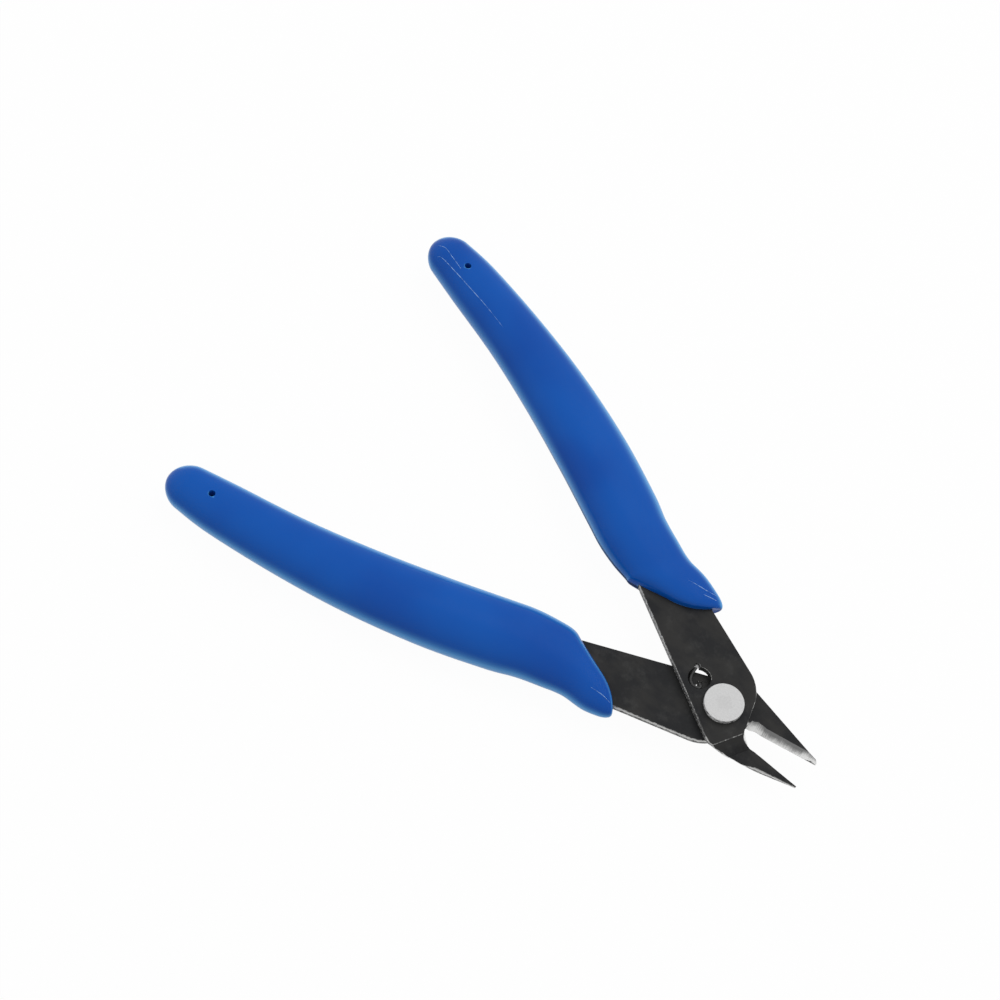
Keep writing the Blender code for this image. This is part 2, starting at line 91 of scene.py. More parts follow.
def smooth(rows: np.ndarray, places: np.ndarray) -> np.ndarray:
    """Catmull-Rom curve through the rows of a table.

    Between rows b and c, with a before and d after and part t from 0 to 1, a value is
    b + t/2 * (c - a + t * (2a - 5b + 4c - d + t * (3b - a - 3c + d))).

    Args:
        rows: table with one row per station.
        places: fractional row numbers at which values are wanted.

    Returns:
        One row per place.
    """
    last = len(rows) - 1
    index = np.clip(places.astype(int), 0, last - 1)
    part = (places - index)[:, None]
    a, b, c, d = (rows[np.clip(index + step, 0, last)] for step in (-1, 0, 1, 2))
    bend = (2 * a - 5 * b + 4 * c - d) * part + (3 * b - a - 3 * c + d) * part**2
    return b + 0.5 * part * (c - a + bend)


def grid_piece(
    name: str, grid: np.ndarray, sharp: float = 35.0, strips: bool = False
) -> bpy.types.Object:
    """A closed piece from rings of points: neighbouring rings are joined, both ends capped.

    Args:
        name: name of the new object.
        grid: array of shape (rings, points in a ring, 3), in metres.
        sharp: angle between faces, in degrees, from which an edge is shaded sharp.
        strips: whether the first ring's cap is made of strips from its upper to its lower
            half, so that it may be bowed.

    Returns:
        The object, at the origin and linked to the scene.
    """
    rings, count = grid.shape[:2]
    ring = np.arange(rings - 1)[:, None] * count
    here = np.arange(count)[None, :]
    after = (here + 1) % count
    quads = np.stack([ring + here, ring + after, ring + count + after, ring + count + here], -1)
    faces = quads.reshape(-1, 4).tolist()
    if strips:
        ends = [(1, 0, count - 1), (count // 2 + 1, count // 2, count // 2 - 1)]
        faces += ends + [(i + 1, i, count - i, count - i - 1) for i in range(1, count // 2 - 1)]
    else:
        faces.append(list(range(count - 1, -1, -1)))
    faces.append(list(range((rings - 1) * count, rings * count)))
    mesh = bpy.data.meshes.new(name)
    mesh.from_pydata(grid.reshape(-1, 3).tolist(), [], faces)
    return finished(name, mesh, sharp)


def tube(name: str, path: np.ndarray, radius: np.ndarray | float, around: int) -> bpy.types.Object:
    """A round wire along a path in the tool's frame.

    At each point a circle lies across the path's tangent t. Its axes are s, the part of the
    last circle's s that is square to t, and t x s.

    Args:
        name: name of the new object.
        path: points of the centre line.
        radius: one radius, or one for each point.
        around: points in a circle.

    Returns:
        The object, closed at both ends.
    """
    tangent = np.gradient(path, axis=0)
    tangent /= np.linalg.norm(tangent, axis=1)[:, None]
    side = np.empty_like(path)
    carried = np.array(FIRST_SIDE)
    for index, along in enumerate(tangent):
        carried = carried - along * (carried @ along)
        carried = carried / np.linalg.norm(carried)
        side[index] = carried
    up = np.cross(tangent, side)
    radii = np.broadcast_to(radius, len(path))[:, None, None]
    turn = way(np.arange(around) * 360 / around)[None] * radii
    grid = path[:, None] + side[:, None] * turn[..., :1] + up[:, None] * turn[..., 1:]
    return grid_piece(name, placed(grid), 50.0)


def finished(name: str, mesh: bpy.types.Mesh, sharp: float) -> bpy.types.Object:
    """Turns a closed mesh's faces outwards, shades it smooth and links it as an object.

    Args:
        name: name of the new object.
        mesh: the closed mesh, which is changed.
        sharp: angle between faces, in degrees, from which an edge is shaded sharp.

    Returns:
        The object, at the origin.
    """
    shape = bmesh.new()
    shape.from_mesh(mesh)
    bmesh.ops.recalc_face_normals(shape, faces=shape.faces)
    shape.to_mesh(mesh)
    shape.free()
    mesh.shade_smooth()
    mesh.set_sharp_from_angle(angle=math.radians(sharp))
    piece = bpy.data.objects.new(name, mesh)
    bpy.context.scene.collection.objects.link(piece)
    return piece


def settled(piece: bpy.types.Object, sharp: float) -> None:
    """Replaces a piece's mesh by what its modifiers make of it, and removes them.

    Args:
        piece: the object, which is changed.
        sharp: angle between faces, in degrees, from which an edge is shaded sharp.
    """
    graph = bpy.context.evaluated_depsgraph_get()
    mesh = bpy.data.meshes.new_from_object(piece.evaluated_get(graph))
    piece.modifiers.clear()
    piece.data = mesh
    mesh.shade_smooth()
    mesh.set_sharp_from_angle(angle=math.radians(sharp))


def carve(piece: bpy.types.Object, cutters: list[bpy.types.Object], sharp: float) -> None:
    """Cuts closed shapes out of a piece and removes the cutters.

    Args:
        piece: the object, which is changed.
        cutters: closed objects, which are removed at the end.
        sharp: angle between faces, in degrees, from which an edge is shaded sharp.
    """
    for cutter in cutters:
        modifier = piece.modifiers.new(cutter.name, "BOOLEAN")
        modifier.operation = "DIFFERENCE"
        modifier.solver = "EXACT"
        modifier.object = cutter
    settled(piece, sharp)
    for cutter in cutters:
        bpy.data.objects.remove(cutter)


# --- Finishes -----------------------------------------------------------------------------


class Weave:
    """A material's node tree, with short calls for the nodes that the finishes use."""

    def __init__(self, name: str) -> None:
        """Starts a material with one Principled shader."""
        self.material = bpy.data.materials.new(name)
        self.material.use_nodes = True
        self.nodes = self.material.node_tree.nodes
        self.shader = self.nodes["Principled BSDF"]
        self.coordinates = self.nodes.new("ShaderNodeTexCoord").outputs["Object"]

    def join(self, source: Any, target: Any) -> None:
        """Links an output to an input."""
        self.material.node_tree.links.new(source, target)

    def put(self, **values: Any) -> None:
        """Sets the shader's own sockets, with _ for a space in each name."""
        for name, value in values.items():
            self.shader.inputs[name.replace("_", " ")].default_value = value

    def feed(self, **sources: Any) -> None:
        """Links outputs to the shader's sockets, with _ for a space in each name."""
        for name, source in sources.items():
            self.join(source, self.shader.inputs[name.replace("_", " ")])

    def mapped(self, scale: tuple, turn: float = 0.0, place: tuple = (0, 0, 0)) -> Any:
        """Object coordinates about a point of the tool's frame, turned about Z and scaled.

        Args:
            scale: length of one unit along each axis.
            turn: angle of the first axis from +X.
            place: the point.

        Returns:
            The vector output.
        """
        moved = self.nodes.new("ShaderNodeMapping")
        moved.vector_type = "TEXTURE"
        moved.inputs["Location"].default_value = placed(np.array(place))
        moved.inputs["Rotation"].default_value = (0, 0, math.radians(turn))
        moved.inputs["Scale"].default_value = [MM * size for size in scale]
        self.join(self.coordinates, moved.inputs["Vector"])
        return moved.outputs["Vector"]

    def noise(self, vector: Any, detail: float = 3.0, roughness: float = 0.55) -> Any:
        """A noise value whose grain is one unit of the vector.

        Args:
            vector: the coordinates.
            detail: number of finer layers.
            roughness: weight of each finer layer.

        Returns:
            The value output, from 0 to 1.
        """
        node = self.nodes.new("ShaderNodeTexNoise")
        node.inputs["Scale"].default_value = 1.0
        node.inputs["Detail"].default_value = detail
        node.inputs["Roughness"].default_value = roughness
        self.join(vector, node.inputs["Vector"])
        return node.outputs["Fac"]

    def painted(self, name: str) -> Any:
        """A value that the mesh stores at its points."""
        node = self.nodes.new("ShaderNodeAttribute")
        node.attribute_name = name
        return node.outputs["Fac"]

    def spread(self, value: Any, low: float, high: float, start: float, end: float) -> Any:
        """Maps a value smoothly from one range to another, held at both ends.

        Args:
            value: the value output.
            low: value at which the result is `start`.
            high: value at which the result is `end`.
            start: first result.
            end: last result.

        Returns:
            The result output.
        """
        node = self.nodes.new("ShaderNodeMapRange")
        node.interpolation_type = "SMOOTHSTEP"
        for name, setting in zip(
            ("From Min", "From Max", "To Min", "To Max"), (low, high, start, end)
        ):
            node.inputs[name].default_value = setting
        self.join(value, node.inputs["Value"])
        return node.outputs["Result"]

    def math(self, kind: str, first: Any, second: Any) -> Any:
        """One Math node on two outputs or numbers.

        Args:
            kind: name of the operation.
            first: an output or a number.
            second: an output or a number.

        Returns:
            The value output.
        """
        node = self.nodes.new("ShaderNodeMath")
        node.operation = kind
        for socket, value in zip(node.inputs, (first, second)):
            if isinstance(value, (int, float)):
                socket.default_value = value
            else:
                self.join(value, socket)
        return node.outputs["Value"]

    def mix(self, amount: Any, first: Any, second: Any) -> Any:
        """A colour between two colours or colour outputs.

        Args:
            amount: output that is 0 for the first colour and 1 for the second.
            first: a colour or a colour output.
            second: a colour or a colour output.

        Returns:
            The colour output.
        """
        node = self.nodes.new("ShaderNodeMix")
        node.data_type = "RGBA"
        self.join(amount, node.inputs["Factor"])
        sockets = [one for one in node.inputs if one.type == "RGBA"]
        for socket, value in zip(sockets, (first, second)):
            if isinstance(value, tuple):
                socket.default_value = (*value, 1)
            else:
                self.join(value, socket)
        return next(one for one in node.outputs if one.type == "RGBA")

    def apart(self, vector: Any) -> list:
        """The X, Y and Z of a vector."""
        node = self.nodes.new("ShaderNodeSeparateXYZ")
        self.join(vector, node.inputs["Vector"])
        return list(node.outputs)

    def bump(self, height: Any, depth: float) -> None:
        """Raises the surface by a value times a depth.

        Args:
            height: the value output.
            depth: height of the surface where the value is 1.
        """
        node = self.nodes.new("ShaderNodeBump")
        node.inputs["Strength"].default_value = 1.0
        node.inputs["Distance"].default_value = depth * MM
        self.join(height, node.inputs["Height"])
        self.join(node.outputs["Normal"], self.shader.inputs["Normal"])


@dataclass(frozen=True)
class Oxide:
    """Black oxide on the plates' faces: a dark, fine-grained skin, browner and bluer in places."""

    name: str = "black_oxide_plate"
    warm: tuple = (0.036, 0.0356, 0.035)
    cool: tuple = (0.0245, 0.025, 0.0265)
    rubbed: tuple = (0.06, 0.06, 0.059)
    most_worn: float = 0.55
    smudge_size: tuple = (9, 5, 7)
    grain_size: tuple = (0.16, 0.16, 0.16)
    grain_depth: float = 0.01
    wear_size: tuple = (3, 3, 3)
    metallic: float = 0.25
    sheen: float = 0.1

    def material(self) -> bpy.types.Material:
        """Builds the node material."""
        weave = Weave(self.name)
        smudge = weave.noise(weave.mapped(self.smudge_size), 3.0)
        grain = weave.noise(weave.mapped(self.grain_size), 2.0)
        wear = weave.noise(weave.mapped(self.wear_size, place=(3, 8, 1)), 5.0, 0.7)
        skin = weave.mix(weave.spread(smudge, 0.38, 0.62, 0, 1), self.cool, self.warm)
        worn = weave.spread(wear, 0.5, 0.72, 0, self.most_worn)
        rub = weave.math("MULTIPLY", worn, weave.spread(grain, 0.4, 0.6, 0.4, 1))
        weave.feed(Base_Color=weave.mix(rub, skin, self.rubbed))
        weave.feed(Roughness=weave.spread(wear, 0.3, 0.7, 0.62, 0.48))
        weave.put(Metallic=self.metallic, IOR=1.42, Specular_IOR_Level=self.sheen)
        weave.bump(grain, self.grain_depth)
        return weave.material


@dataclass(frozen=True)
class ShearedWall:
    """The sheets' cut walls: a bright burnished band above, torn and speckled steel below."""

    name: str = "sheared_steel_wall"
    bright: tuple = (0.55, 0.55, 0.54)
    torn: tuple = (0.025, 0.025, 0.025)
    fleck: tuple = (0.55, 0.55, 0.54)
    ragged: float = 0.12
    blur: float = 0.06
    speckle_size: tuple = (0.4, 0.4, 0.2)
    wander_size: tuple = (0.9, 0.9, 0.9)

    def material(self) -> bpy.types.Material:
        """Builds the node material.

        The mesh stores how deep a point lies in the sheet and how deep the burnished band
        reaches there, and the line between band and tear wanders by `ragged`.
        """
        weave = Weave(self.name)
        speckle = weave.noise(weave.mapped(self.speckle_size), 4.0, 0.75)
        wander = weave.noise(weave.mapped(self.wander_size, place=(1, 2, 3)), 3.0, 0.6)
        below = weave.math("SUBTRACT", weave.painted("sheet_depth"), weave.painted("burnish"))
        below = weave.math("ADD", below, weave.spread(wander, 0.3, 0.7, -self.ragged, self.ragged))
        torn = weave.mix(weave.spread(speckle, 0.48, 0.6, 0, 1), self.torn, self.fleck)
        past = weave.spread(below, -self.blur, self.blur, 0, 1)
        weave.feed(Base_Color=weave.mix(past, self.bright, torn))
        weave.feed(Roughness=weave.spread(below, -self.blur, self.blur, 0.35, 0.55))
        weave.put(Metallic=0.4)
        weave.bump(speckle, 0.03)
        return weave.material


@dataclass(frozen=True)
class GroundFace:
    """A ground bevel: brushed steel, brighter toward the cutting edge, its root and its tip."""

    name: str
    turn: float
    border: tuple = (0.19, 0.19, 0.19)
    edge: tuple = (0.95, 0.95, 0.94)
    line: float = 0.13
    cloud: float = 0.1
    shades: tuple = (0.25, 1.15)
    brush_size: tuple = (0.16, 2.6, 2.6)
    root: tuple = (7.2, 8.6)
    root_lift: float = 0.3
    tip: tuple = (14.0, 19.0)
    tip_lift: float = 0.6

    def material(self) -> bpy.types.Material:
        """Builds the node material."""
        weave = Weave(self.name)
        brush = weave.noise(weave.mapped(self.brush_size, self.turn), 3.0, 0.7)
        cloud = weave.noise(weave.mapped((2.2, 2.2, 2.2)), 2.0)
        x, _, _ = weave.apart(weave.mapped((1, 1, 1)))
        parts = (
            weave.painted("sheet_depth"),
            weave.spread(brush, 0.3, 0.7, -self.line, self.line),
            weave.spread(cloud, 0.35, 0.65, -self.cloud, self.cloud),
            weave.spread(x, *self.root, self.root_lift, 0),
            weave.spread(x, *self.tip, 0, self.tip_lift),
        )
        total = parts[0]
        for part in parts[1:]:
            total = weave.math("ADD", total, part)
        shade = weave.spread(total, *self.shades, 0, 1)
        weave.feed(Base_Color=weave.mix(shade, self.border, self.edge))
        weave.feed(Roughness=weave.spread(brush, 0.3, 0.7, 0.45, 0.33))
        weave.put(Metallic=0.3)
        weave.bump(brush, 0.006)
        return weave.material


@dataclass(frozen=True)
class WornLitEdge:
    """The plates' arrises, where the oxide has rubbed off in places; the bare steel is also a painted
    highlight, as only arrises facing the light get it.
    """

    name: str = "worn_and_highlit_plate_edge"
    bare_highlight: tuple = (0.42, 0.42, 0.41)
    black: tuple = (0.05, 0.05, 0.05)

    def material(self) -> bpy.types.Material:
        """Builds the node material."""
        weave = Weave(self.name)
        patch = weave.noise(weave.mapped((0.6, 0.6, 0.6)), 4.0, 0.75)
        weave.feed(Base_Color=weave.mix(weave.spread(patch, 0.42, 0.62, 0, 1), self.black, self.bare_highlight))
        weave.put(Metallic=0.5, Roughness=0.4)
        return weave.material


@dataclass(frozen=True)
class Vinyl:
    """Glossy moulded vinyl with a faint uneven skin, a painted reflection that pales its flanks and a
    painted shadow line.
    """

    name: str = "royal_blue_vinyl"
    deep: tuple = (0.0025, 0.067, 0.366)
    lit: tuple = (0.003, 0.089, 0.428)
    # painted reflection: the pale colour that the flanks take
    reflection_pale: tuple = (0.07, 0.31, 0.68)
    # painted shadow: colour of the shadow line
    dark: tuple = (0.01, 0.02, 0.05)
    rough: tuple = (0.12, 0.2)
    shadow_rough: float = 0.8
    sheen: float = 0.14
    cloud_size: tuple = (22, 22, 22)
    skin_size: tuple = (0.9, 0.9, 0.9)
    skin_depth: float = 0.003

    def material(self) -> bpy.types.Material:
        """Builds the node material."""
        weave = Weave(self.name)
        cloud = weave.noise(weave.mapped(self.cloud_size, place=(5, -9, 0)), 2.0)
        skin = weave.noise(weave.mapped(self.skin_size), 2.0)
        body = weave.mix(weave.spread(cloud, 0.28, 0.68, 0, 1), self.deep, self.lit)
        # painted reflection: flanks turned away from the top are paled
        body = weave.mix(weave.painted("flank_reflection"), body, self.reflection_pale)
        under = weave.painted("shadow_line")
        weave.feed(Base_Color=weave.mix(under, body, self.dark))
        gloss = weave.spread(skin, 0.3, 0.7, *self.rough)
        dull = weave.spread(under, 0, 1, 0, self.shadow_rough)
        weave.feed(Roughness=weave.math("MAXIMUM", gloss, dull))
        weave.put(IOR=1.5, Specular_IOR_Level=self.sheen)
        weave.bump(skin, self.skin_depth)
        return weave.material


@dataclass(frozen=True)
class MouldLineHighlight:
    """The raised mould lines of the grips, painted pale in places as highlights."""

    name: str = "mould_line_painted_highlight"
    blue: tuple = (0.02, 0.13, 0.46)
    # painted highlight: pale patches along the mould lines
    reflection_pale: tuple = (0.3, 0.5, 0.85)

    def material(self) -> bpy.types.Material:
        """Builds the node material."""
        weave = Weave(self.name)
        patch = weave.noise(weave.mapped((1.1, 1.1, 1.1)), 4.0, 0.7)
        weave.feed(Base_Color=weave.mix(weave.spread(patch, 0.4, 0.58, 0, 1), self.blue, self.reflection_pale))
        weave.put(Roughness=0.3)
        return weave.material


@dataclass(frozen=True)
class BareSteel:
    """Bare steel of the rivet or the wire, with fine turning or drawing marks."""

    name: str
    light: tuple = (0.6, 0.6, 0.6)
    shade: tuple = (0.55, 0.55, 0.55)
    grain: tuple = (0.3, 0.3, 0.3)
    metallic: float = 0.4
    rough: float = 0.42

    def material(self) -> bpy.types.Material:
        """Builds the node material."""
        weave = Weave(self.name)
        marks = weave.noise(weave.mapped(self.grain), 3.0, 0.6)
        weave.feed(Base_Color=weave.mix(weave.spread(marks, 0.35, 0.65, 0, 1), self.shade, self.light))
        weave.put(Metallic=self.metallic, Roughness=self.rough)
        weave.bump(marks, 0.004)
        return weave.material


# --- Blades -------------------------------------------------------------------------------


class Face(enum.IntEnum):
    """The finishes of a blade, in the order of its material slots."""

    OXIDE = 0
    WALL = 1
    GROUND = 2
    # worn steel on arrises, given only where a painted highlight falls
    WORN_LIT = 3


@dataclass
class Blade:
    """One sheet steel blade, made from the CAD solid with its arrises eased."""

    node: str
    body: str
    ground_turn: float
    jaw_start: float = 5.45
    slope_normal: tuple = (0.0, 0.0, 1.0)
    throat: tuple = (0.0, 0.0)
    top_level: float = 0.0
    joggle_drop: float = 0.0
    joggle_way: float = -25.0
    joggle_start: float = 6.33
    joggle_run: float = 2.27
    plate: float = 1.5
    edge_width: float = 0.1
    burnish: tuple = (0.45, 0.45)
    window: tuple = (-6.4, 1.0)
    window_reach: float = 3.4
    # angles of the window's rim whose arris shows worn steel as a painted highlight
    worn_lit_rim: tuple = (30.0, 135.0)
    shaded_side: float = 0.8
    tip_start: float = 18.5
    flat_limit: float = 0.93
    slope_limit: float = 0.995
    ground_limit: float = 0.2
    throat_side: float = -2.4
    burnish_start: float = 1.0
    merge: float = 0.03
    flat_angle: float = 0.4
    edge_angle: float = 28.0

    def merged(self) -> bpy.types.Mesh:
        """A copy of the solid's triangles, joined at their corners and along flat faces."""
        mesh = frame["nodes"][self.node].data.copy()
        shape = bmesh.new()
        shape.from_mesh(mesh)
        bmesh.ops.remove_doubles(shape, verts=shape.verts, dist=self.merge * MM)
        bmesh.ops.dissolve_limit(
            shape,
            angle_limit=math.radians(self.flat_angle),
            verts=shape.verts,
            edges=shape.edges,
        )
        shape.to_mesh(mesh)
        shape.free()
        return mesh

    def weigh_edges(self, mesh: bpy.types.Mesh) -> None:
        """Marks the edges to be eased: the sharp ones that stand out and aren't ground.

        Args:
            mesh: the blade's mesh, which is changed.
        """
        shape = bmesh.new()
        shape.from_mesh(mesh)
        weight = shape.edges.layers.float.new("bevel_weight_edge")
        for edge in shape.edges:
            sharp = edge.calc_face_angle(0.0) > math.radians(self.edge_angle)
            reach = max((vert.co.x - RIVET_PLACE[0]) / MM for vert in edge.verts)
            ground = any(face.material_index == Face.GROUND for face in edge.link_faces)
            edge[weight] = float(sharp and edge.is_convex and reach < self.tip_start and not ground)
        shape.to_mesh(mesh)
        shape.free()

    def finish_of_faces(self, mesh: bpy.types.Mesh) -> np.ndarray:
        """Sorts faces by how they lie.

        A face whose normal is near upright, or along the slope of the step, keeps its
        oxide. Any other face of the jaw that isn't upright is ground. The rest are walls.

        Args:
            mesh: the blade's mesh in the model's frame.

        Returns:
            One slot number per face.
        """
        normals = np.empty(len(mesh.polygons) * 3)
        centres = np.empty(len(mesh.polygons) * 3)
        mesh.polygons.foreach_get("normal", normals)
        mesh.polygons.foreach_get("center", centres)
        normals = normals.reshape(-1, 3)
        x, y, _ = ((centres.reshape(-1, 3) - RIVET_PLACE) / MM).T
        upright = np.abs(normals[:, 2])
        along_slope = np.abs(normals @ np.array(self.slope_normal))
        plate = (upright > self.flat_limit) | (along_slope > self.slope_limit)
        jaw = x > self.jaw_start
        in_throat = (x > self.throat[0]) & (x < self.throat[1]) & (y > self.throat_side)
        ground = ~plate & jaw & ((upright > self.ground_limit) | in_throat)
        slots = np.full(len(mesh.polygons), int(Face.WALL))
        slots[plate] = Face.OXIDE
        slots[ground] = Face.GROUND
        # painted shade: walls round the window take the dark oxide instead of the bright wall finish
        in_window = np.hypot(x - self.window[0], y - self.window[1]) < self.window_reach
        slots[~plate & in_window] = Face.OXIDE
        return slots

    def paint_depth(self, mesh: bpy.types.Mesh) -> None:
        """Stores at each point how deep it lies in the sheet, from 0 at its top face to 1.

        The top face drops by joggle_drop * clamp((p . w - start) / run) at a point p, where
        w is the way in which the jaw is stepped down.

        Args:
            mesh: the blade's mesh, which is changed.
        """
        points = np.empty(len(mesh.vertices) * 3)
        mesh.vertices.foreach_get("co", points)
        points = (points.reshape(-1, 3) - RIVET_PLACE) / MM
        reach = points[:, :2] @ way(self.joggle_way)
        drop = self.joggle_drop * np.clip((reach - self.joggle_start) / self.joggle_run, 0, 1)
        depth = (self.top_level - drop - points[:, 2]) / self.plate
        burnish = np.interp(points[:, 0], [self.burnish_start, self.jaw_start], self.burnish)
        for name, values in (("sheet_depth", depth), ("burnish", burnish)):
            mesh.attributes.new(name, "FLOAT", "POINT").data.foreach_set("value", values)

    def stays_dark(self, face: bpy.types.MeshPolygon) -> bool:
        """Whether an arris stays dark: on the +Y side, as painted shade, and round most of the window's
        rim; the others show worn steel, placed as a painted highlight.

        Args:
            face: a face of the eased arris.

        Returns:
            Whether its oxide is whole.
        """
        flat = math.hypot(face.normal.x, face.normal.y)
        x, y, _ = (np.array(face.center) - RIVET_PLACE) / MM
        x, y = x - self.window[0], y - self.window[1]
        if math.hypot(x, y) < self.window_reach:
            return not self.worn_lit_rim[0] < math.degrees(math.atan2(y, x)) < self.worn_lit_rim[1]
        return face.normal.y > self.shaded_side * flat

    def shade_faces(self, mesh: bpy.types.Mesh) -> None:
        """Sorts the arrises' finishes, shades plate faces flat and parts the finishes.

        Args:
            mesh: the blade's mesh, which is changed.
        """
        sides: dict = {}
        for face in mesh.polygons:
            # arrises on the +Y side and most of the window's rim stay dark as painted shade
            if face.material_index == Face.WORN_LIT and self.stays_dark(face):
                face.material_index = Face.OXIDE
            elif face.material_index == Face.OXIDE:
                face.use_smooth = False
            for pair in face.edge_keys:
                sides.setdefault(pair, set()).add(face.material_index)
        for edge in mesh.edges:
            edge.use_edge_sharp |= Face.GROUND in sides.get(edge.key, ()) and len(sides[edge.key]) > 1

    def build(self) -> bpy.types.Object:
        """Makes the blade, dresses it and lets it ride on its body."""
        mesh = self.merged()
        for _ in range(len(mesh.materials)):
            mesh.materials.pop()
        finishes = (Oxide(), ShearedWall(), GroundFace(self.node + "_ground", self.ground_turn), WornLitEdge())
        for finish in finishes:
            made = bpy.data.materials.get(finish.name) or finish.material()
            mesh.materials.append(made)
        mesh.polygons.foreach_set("material_index", self.finish_of_faces(mesh))
        self.weigh_edges(mesh)
        piece = bpy.data.objects.new(self.node + "_plate", mesh)
        bpy.context.scene.collection.objects.link(piece)
        eased = piece.modifiers.new("eased_arris", "BEVEL")
        eased.width = self.edge_width * MM
        eased.segments = 2
        eased.use_clamp_overlap = False
        eased.limit_method = "WEIGHT"
        eased.material = int(Face.WORN_LIT)
        settled(piece, self.edge_angle)
        self.shade_faces(piece.data)
        self.paint_depth(piece.data)
        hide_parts(self.node)
        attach(piece, self.body)
        return piece


# --- Rivet --------------------------------------------------------------------------------


@dataclass
class Rivet:
    """A turned rivet: shank, two round-edged heads and a faintly domed face on each."""

    head_height: float = 1.0
    shank_radius: float = 1.8
    edge: float = 0.1
    dome: float = 0.01
    around: int = 128
    arc_steps: int = 8
    face_steps: int = 8
    side_limit: float = 0.3
    pole_radius: float = 0.04
    side_finish: BareSteel = BareSteel(
        "rivet_side_steel", (0.98, 0.98, 0.98), (0.12, 0.12, 0.12), (0.7, 0.7, 0.35), 0.1, 0.3
    )

    def half_profile(self, radius: float) -> np.ndarray:
        """Half of a head's section as (radius, height over its inner face) points.

        A quarter circle of radius `edge` rounds the arris. The face is a shallow dome,
        dome * (1 - (r / R)^2) high, over the inner radius R.

        Args:
            radius: radius of the head.

        Returns:
            The points, from the shank over the arris to the pole.
        """
        turn = way(np.linspace(0, 90, self.arc_steps)) * self.edge
        inner = radius - self.edge
        arris = np.stack([inner + turn[:, 0], self.head_height - self.dome - self.edge + turn[:, 1]], 1)
        reach = np.linspace(inner, self.pole_radius, self.face_steps)[1:]
        face = self.head_height - self.dome * (reach / inner) ** 2
        start = np.array([[self.shank_radius, 0.0], [radius, 0.0]])
        return np.concatenate([start, arris, np.stack([reach, face], 1)])

    def build(self) -> bpy.types.Object:
        """Carries the profile round the rivet's axis, dresses it and lets it ride."""
        low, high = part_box("pivot_rivet")
        radius = (high.x - low.x) / 2 / MM
        top = (high.z - RIVET_PLACE[2]) / MM - self.head_height
        bottom = (low.z - RIVET_PLACE[2]) / MM + self.head_height
        half = self.half_profile(radius)
        upper = np.stack([half[:, 0], top + half[:, 1]], 1)
        lower = np.stack([half[:, 0], bottom - half[:, 1]], 1)[::-1]
        profile = np.concatenate([lower, upper])
        turn = way(np.arange(self.around) * 360 / self.around)
        grid = np.empty((len(profile), self.around, 3))
        grid[..., :2] = profile[:, None, :1] * turn[None]
        grid[..., 2] = profile[:, None, 1]
        piece = grid_piece("rivet", placed(grid))
        for finish in (BareSteel("rivet_steel"), self.side_finish):
            piece.data.materials.append(finish.material())
        for face in piece.data.polygons:
            face.material_index = int(abs(face.normal.z) < self.side_limit)
        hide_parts("pivot_rivet")
        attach(piece, "lower_half")
        return piece


# --- Return spring ------------------------------------------------------------------------


@dataclass
class ReturnSpring:
    """A bent wire from the notch of the window round its side and down to the lower blade."""

    wire_radius: float = 0.3
    window_centre: tuple = (-6.4, 1.0)
    window_radius: float = 2.15
    notch_angle: float = 140.0
    notch_reach: float = 2.4
    wall_angle: float = 163.0
    wall_reach: float = 1.8
    bend_angles: tuple = (190.0, 320.0)
    bends: int = 5
    clearance: float = 0.3
    anchor: tuple = (-5.85, 0.65)
    plate: float = 1.5
    upper_top: float = 1.6
    around: int = 16
    steps: int = 10

    def hook(self) -> np.ndarray:
        """The point in the plane of the plates at which the wire hooks into the notch."""
        return np.array(self.window_centre) + way(self.notch_angle) * self.notch_reach

    def route(self) -> np.ndarray:
        """The wire's centre line: straight down, round part of a circle and down again."""
        centre = np.array(self.window_centre)
        level = self.wire_radius + self.clearance
        hook = self.hook()
        round_side = self.window_radius - self.wire_radius - self.clearance
        bends = centre + way(np.linspace(*self.bend_angles, self.bends)) * round_side
        ends = [
            (*hook, self.upper_top - self.wire_radius),
            (*hook, self.upper_top - 2 * self.wire_radius),
            (*(centre + way(self.wall_angle) * self.wall_reach), level + self.wire_radius),
        ]
        last = [(*self.anchor, level - self.wire_radius), (*self.anchor, self.wire_radius - self.plate)]
        rows = np.array(ends + [(*bend, level) for bend in bends] + last)
        return smooth(rows, np.linspace(0, len(rows) - 1, self.steps * (len(rows) - 1) + 1))

    def build(self) -> bpy.types.Object:
        """Carries a circle along the route, a bent wire from the upper half down to the lower one."""
        piece = tube("spring_wire", self.route(), self.wire_radius, self.around)
        for finish in (
            BareSteel("spring_wire_steel", (0.05, 0.05, 0.05), (0.025, 0.025, 0.025), metallic=0.1),
            BareSteel("cut_wire_end", (0.4, 0.4, 0.4), (0.2, 0.2, 0.2)),
        ):
            piece.data.materials.append(finish.material())
        for cap in piece.data.polygons[-2:]:
            cap.material_index = 1
        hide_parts("return_spring")
        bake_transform(piece)
        return piece


# --- Grips --------------------------------------------------------------------------------


class Half(enum.IntEnum):
    """The two halves of the tool, by the side on which their handle lies."""

    LOWER = 1
    UPPER = -1


